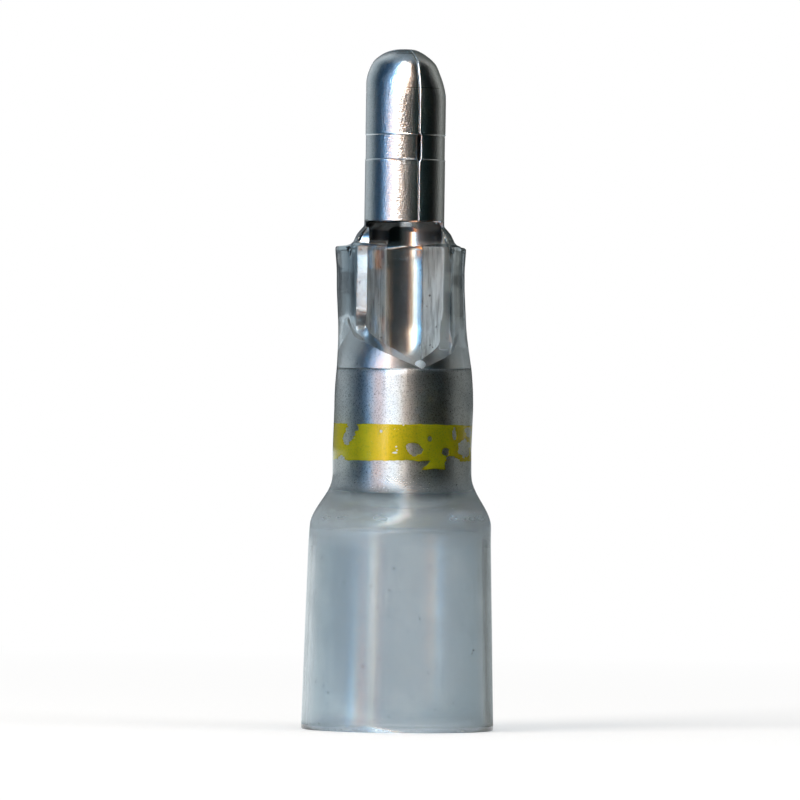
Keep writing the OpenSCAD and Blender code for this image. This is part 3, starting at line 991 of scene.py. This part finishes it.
def with_table(s, cards, angle, place, z):
    """The lit table behind the part, in front of the lower ends of the cards there."""
    table = colour_ramp(s, place, [
        (-180, (0.80, 0.80, 0.80)), (-179, (0.64, 0.68, 0.70)), (-177.5, (0.40, 0.47, 0.52)),
        (-176, (0.40, 0.48, 0.53)), (-173.5, (0.64, 0.73, 0.78)), (-171, (0.85, 0.93, 0.96)),
        (-150, (0.85, 0.93, 0.96)), (-130, (0.60, 0.68, 0.72)), (-100, (0.50, 0.57, 0.60)),
        (150, (0.34, 0.38, 0.39)), (167, (0.40, 0.45, 0.46)), (175, (0.63, 0.67, 0.68)),
        (180, (0.80, 0.80, 0.80))])
    turned = s.math("ABSOLUTE", angle)
    low = s.remap(z, 0.015, 0.009)
    behind = s.product(low, s.remap(turned, 140, 150))
    left = s.product(low, s.remap(angle, -100, -118))
    tall = s.product(s.remap(z, 0.2, 0.12), s.remap(turned, 173, 176.5))
    shown = s.math("MAXIMUM", s.math("MAXIMUM", behind, left), tall)
    return s.mix(shown, cards, table)


def key_light(s, angle, place, z, away):
    """The key stands at the left near the table and leans to the right further up, where it is also
    stronger. Its foot lies on the table and fades towards the part."""
    lean = s.remap(z, 0.08, 0.32, 0.0, -36.0)
    key = colour_ramp(s, s.remap(s.math("ADD", angle, lean), -180, 180), [
        (-66, (0, 0, 0)), (-56, (0.015, 0.05, 0.1)), (-47, (0.05, 0.16, 0.32)), (-40.5, (0.17, 0.44, 0.78)),
        (-35, (0.7, 1.3, 1.8)), (-30, (2.9, 3.0, 3.0)), (-26, (3.0, 2.9, 2.6)), (-22.5, (2.0, 1.3, 0.75)),
        (-18.5, (0.6, 0.27, 0.13)), (-13, (0.08, 0.04, 0.025)), (-4, (0.02, 0.012, 0.01)), (4, (0, 0, 0))])
    lit = s.vector("SCALE", {0: key, "Scale": s.remap(z, 0.06, 0.2, 0.8, 7.2)})
    warmth = s.mix(s.remap(z, 0.022, 0.01), WHITE, rgb(1.1, 0.8, 0.55))
    lit = s.vector("MULTIPLY", {0: lit, 1: warmth})
    foot = colour_ramp(s, place, [
        (-64, (0, 0, 0)), (-60, (0.05, 0.55, 1.3)), (-55.5, (0.6, 2.0, 3.6)), (-51, (2.2, 2.6, 2.8)),
        (-46, (3.1, 1.6, 0.5)), (-40, (2.9, 0.85, 0.0)), (-33, (0.7, 0.15, 0.0)), (-26, (0, 0, 0))])
    foot = s.vector("SCALE", {0: foot, "Scale": s.remap(away, 0.025, 0.055, 0.3, 1.35)})
    return s.mix(s.remap(z, 0.006, 0.002), lit, foot)


def studio_cards():
    """Glow of the cards by azimuth and height, under an even top."""
    s = new_material("studio_cards")
    x, y, z = s.axes(s.coords)
    angle = s.product(s.math("ARCTAN2", x, s.product(y, -1.0)), 180 / math.pi)
    place = s.remap(angle, -180, 180)
    cards = with_table(s, grey_cards(s, angle, place, z), angle, place, z)
    key = key_light(s, angle, place, z, s.axis_distance(x, y))
    sides = s.vector("ADD", {0: cards, 1: key})
    top = rgb(*(c / CARD_STRENGTH for c in (0.2, 0.26, 0.31)))
    colour = s.mix(s.remap(z, 0.34, 0.385), sides, top)
    glow = s.add("ShaderNodeEmission", {"Color": colour, "Strength": CARD_STRENGTH}).outputs[0]
    material = s.finish(glow)
    material.cycles.emission_sampling = "NONE"
    return material


def surround():
    """Cards around the set that only reflections and the clear plastic show."""
    radius, near_part, lift = 0.4, 0.0065, 0.00005
    count = 96
    bm = bmesh.new()
    bmesh.ops.create_uvsphere(bm, u_segments=count, v_segments=48, radius=radius)
    bmesh.ops.delete(bm, geom=[v for v in bm.verts if v.co.z < -1e-4], context="VERTS")
    # The cards reach in over the floor, close to the part
    inner, outer = (
        [bm.verts.new((r * math.cos(t), r * math.sin(t), lift)) for t in turn(count)]
        for r in (near_part, radius))
    for j in range(count):
        k = (j + 1) % count
        bm.faces.new((inner[j], inner[k], outer[k], outer[j]))
    mesh = bpy.data.meshes.new("studio_cards")
    bm.to_mesh(mesh)
    bm.free()
    mesh.shade_smooth()
    mesh.materials.append(studio_cards())
    cards = add_object("studio_cards", mesh)
    cards.visible_camera = False
    cards.visible_diffuse = False
    cards.visible_shadow = False
    cards.visible_volume_scatter = False


def lamp(name, azimuth, elevation, distance, size, watts, colour):
    """A square lamp that faces the part and shows in no reflection; angles in degrees, sizes in metres."""
    data = bpy.data.lights.new(name, "AREA")
    data.shape = "SQUARE"
    data.size = size
    data.energy = watts
    data.color = colour
    a, e = math.radians(azimuth), math.radians(elevation)
    place = Vector((math.sin(a) * math.cos(e), -math.cos(a) * math.cos(e), math.sin(e))) * distance
    obj = add_object(name, data)
    obj.matrix_world = Matrix.Translation(place) @ place.to_track_quat("Z", "Y").to_matrix().to_4x4()
    obj.visible_glossy = False
    obj.visible_transmission = False
    obj.visible_camera = False


def world():
    """Even light, white where it is seen."""
    s = Shader(bpy.data.worlds.new("studio"), "ShaderNodeOutputWorld")
    level = s.remap(white_for_view(s), 0.0, 1.0, 0.45, 1.0)
    sky = s.add("ShaderNodeBackground", {"Color": WHITE, "Strength": level}).outputs[0]
    bpy.context.scene.world = s.finish(sky)


def camera():
    """Long lens level with the part's middle; the photograph leans by under a degree."""
    data = bpy.data.cameras.new("camera")
    data.sensor_width = 36
    data.lens = 360
    data.clip_start = 0.01
    data.clip_end = 20
    obj = add_object("camera", data)
    lean = math.radians(0.81)
    right = Vector((math.cos(lean), 0, math.sin(lean)))
    up = Vector((-math.sin(lean), 0, math.cos(lean)))
    facing = Matrix((right, up, Vector((0, -1, 0)))).transposed().to_4x4()
    aside, distance, height = -0.0885, 400, 16.465
    obj.matrix_world = Matrix.Translation(Vector((aside, -distance, height)) * MM) @ facing
    bpy.context.scene.camera = obj


def build():
    """The part's pieces with their materials, then the studio."""
    rolled_terminal(tin_plate())
    sleeve(sleeve_plate())
    ink_band(yellow_ink())
    clear_tube(clear_jacket())
    tail_lining(hot_melt("hot_melt", low=0.045, high=0.125))
    adhesive_bead(hot_melt("hot_melt_drop", low=0.4, high=0.55))
    floor()
    surround()
    lamp("key", azimuth=-48, elevation=28, distance=0.55, size=0.3, watts=2.3, colour=(1.0, 0.98, 0.95))
    lamp("fill", azimuth=70, elevation=35, distance=0.6, size=0.35, watts=0.7, colour=(0.95, 0.98, 1.0))
    world()
    camera()
    bpy.context.scene.view_settings.view_transform = "Standard"


build()
